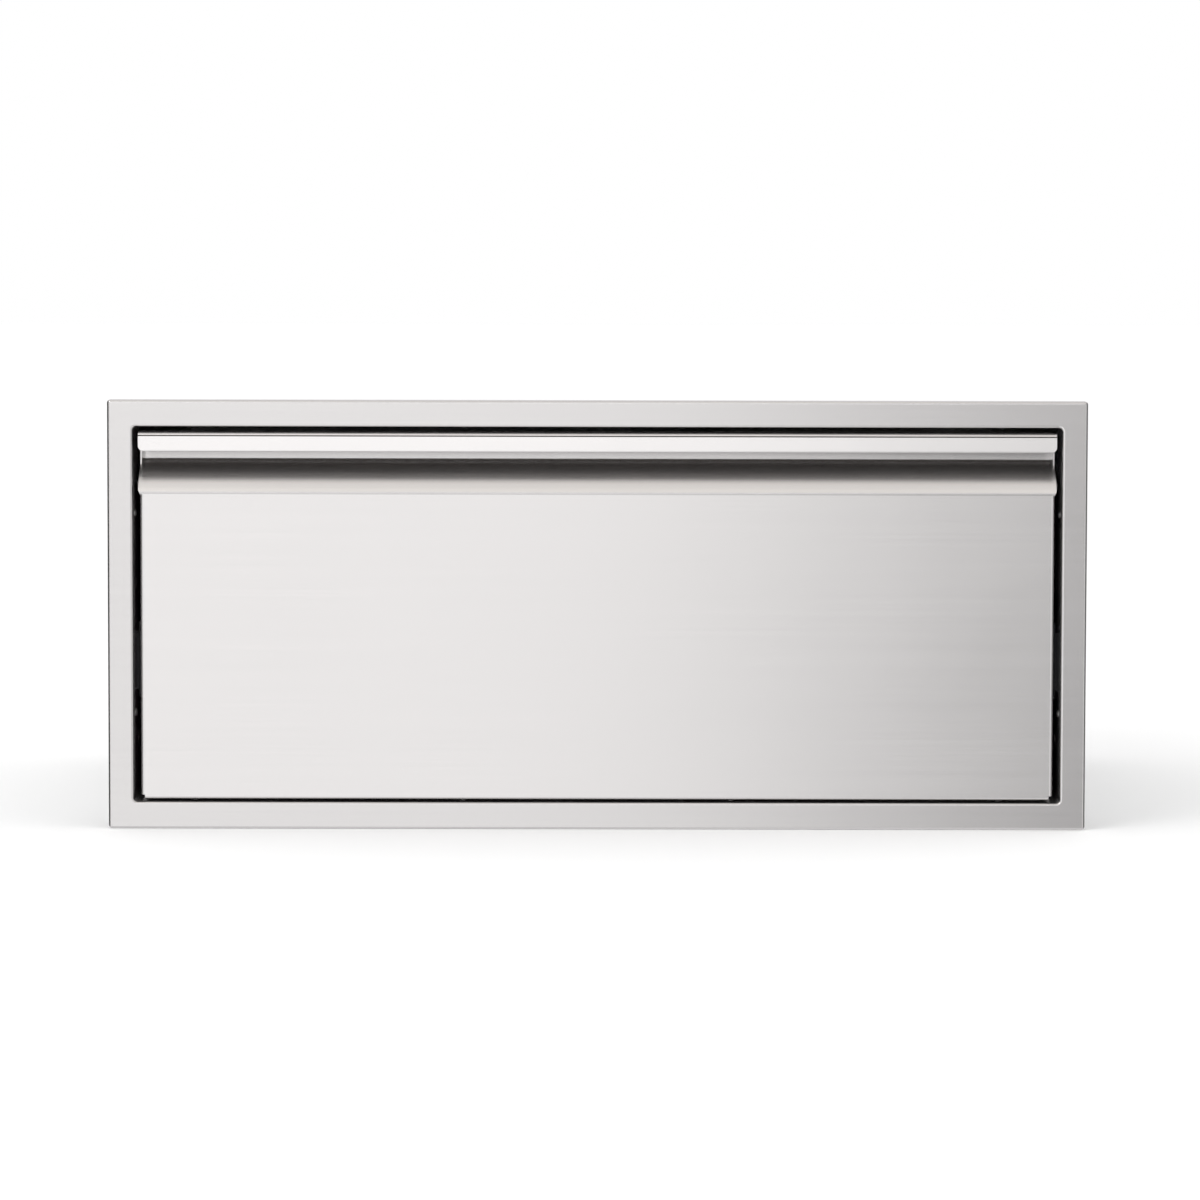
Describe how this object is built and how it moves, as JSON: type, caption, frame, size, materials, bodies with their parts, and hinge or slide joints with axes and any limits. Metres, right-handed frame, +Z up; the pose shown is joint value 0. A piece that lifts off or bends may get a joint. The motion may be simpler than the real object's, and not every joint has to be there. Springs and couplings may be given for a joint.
{
  "type": "built-in storage drawer",
  "caption": "Built-in brushed stainless outdoor-kitchen drawer: flat flange, flush front with a full-width finger pull, enclosed housing and full-extension ball slides.",
  "frame": {"origin": "middle of the opening, on the plane where the back rim of the flange meets the wall", "axes": "+Z up, -Y out of the front towards the user, +Y into the wall, +X to the right seen from the front"},
  "size_m": [0.762, 0.579, 0.3344],
  "materials": {
    "frame_brushed_steel": "fine horizontal brushed stainless steel",
    "front_brushed_steel": "fine horizontal brushed stainless steel",
    "mill_finish_steel": "plain mill-finish stainless sheet",
    "rail_steel": "rolled steel rail, black zinc",
    "cage_steel": "thin stamped steel",
    "bearing_steel": "polished steel balls",
    "fastener_steel": "stainless fastener",
    "black_rubber": "matt moulded rubber",
    "black_plastic": "matt moulded plastic"
  },
  "bodies": {
    "housing": {"face_frame": "frame_brushed_steel", "jamb_rivets": "fastener_steel", "cabinet_rail_screws": "fastener_steel", "housing_left_side": "mill_finish_steel", "housing_right_side": "mill_finish_steel", "housing_bottom": "mill_finish_steel", "housing_top": "mill_finish_steel", "housing_back": "mill_finish_steel", "left_slide_strip": "rail_steel", "left_cabinet_rail": "rail_steel", "left_slide_bumper": "black_rubber", "right_slide_strip": "rail_steel", "right_cabinet_rail": "rail_steel", "right_slide_bumper": "black_rubber"},
    "drawer": {"drawer_front_skin": "front_brushed_steel", "left_handle_end_cap": "front_brushed_steel", "right_handle_end_cap": "front_brushed_steel", "drawer_box_rivets": "fastener_steel", "front_screws": "fastener_steel", "drawer_rail_screws": "fastener_steel", "lever_pivots": "fastener_steel", "front_inner_panel": "mill_finish_steel", "drawer_box_shell": "mill_finish_steel", "drawer_box_front": "mill_finish_steel", "drawer_box_front_strip": "mill_finish_steel", "drawer_box_back": "mill_finish_steel", "drawer_box_back_strip": "mill_finish_steel", "left_drawer_rail": "rail_steel", "right_drawer_rail": "rail_steel"},
    "left_middle": {"left_middle_rail": "rail_steel"},
    "left_outer_cage": {"left_outer_ball_cage": "cage_steel", "left_outer_balls": "bearing_steel"},
    "left_inner_cage": {"left_inner_ball_cage": "cage_steel", "left_inner_balls": "bearing_steel"},
    "left_lever": {"left_release_lever": "black_plastic"},
    "right_middle": {"right_middle_rail": "rail_steel"},
    "right_outer_cage": {"right_outer_ball_cage": "cage_steel", "right_outer_balls": "bearing_steel"},
    "right_inner_cage": {"right_inner_ball_cage": "cage_steel", "right_inner_balls": "bearing_steel"},
    "right_lever": {"right_release_lever": "black_plastic"}
  },
  "joints": [
    {"name": "drawer_slide", "type": "slide", "parent": "housing", "child": "drawer", "axis": [0, -1, 0], "range_m": [0, 0.5]},
    {"name": "left_middle_travel", "type": "slide", "parent": "housing", "child": "left_middle", "axis": [0, -1, 0], "range_m": [0, 0.25]},
    {"name": "left_outer_cage_travel", "type": "slide", "parent": "housing", "child": "left_outer_cage", "axis": [0, -1, 0], "range_m": [0, 0.125]},
    {"name": "left_inner_cage_travel", "type": "slide", "parent": "housing", "child": "left_inner_cage", "axis": [0, -1, 0], "range_m": [0, 0.375]},
    {"name": "left_lever_pivot", "type": "hinge", "parent": "drawer", "child": "left_lever", "pos_m": [-0.3503, 0.372, -0.04], "axis": [1, 0, 0], "range_deg": [-6, 6]},
    {"name": "right_middle_travel", "type": "slide", "parent": "housing", "child": "right_middle", "axis": [0, -1, 0], "range_m": [0, 0.25]},
    {"name": "right_outer_cage_travel", "type": "slide", "parent": "housing", "child": "right_outer_cage", "axis": [0, -1, 0], "range_m": [0, 0.125]},
    {"name": "right_inner_cage_travel", "type": "slide", "parent": "housing", "child": "right_inner_cage", "axis": [0, -1, 0], "range_m": [0, 0.375]},
    {"name": "right_lever_pivot", "type": "hinge", "parent": "drawer", "child": "right_lever", "pos_m": [0.3503, 0.372, -0.04], "axis": [1, 0, 0], "range_deg": [-6, 6]}
  ],
  "couplings": [
    {"joint": "left_middle_travel", "follows": "drawer_slide", "ratio": 0.5},
    {"joint": "left_outer_cage_travel", "follows": "drawer_slide", "ratio": 0.25},
    {"joint": "left_inner_cage_travel", "follows": "drawer_slide", "ratio": 0.75},
    {"joint": "right_middle_travel", "follows": "drawer_slide", "ratio": 0.5},
    {"joint": "right_outer_cage_travel", "follows": "drawer_slide", "ratio": 0.25},
    {"joint": "right_inner_cage_travel", "follows": "drawer_slide", "ratio": 0.75}
  ]
}
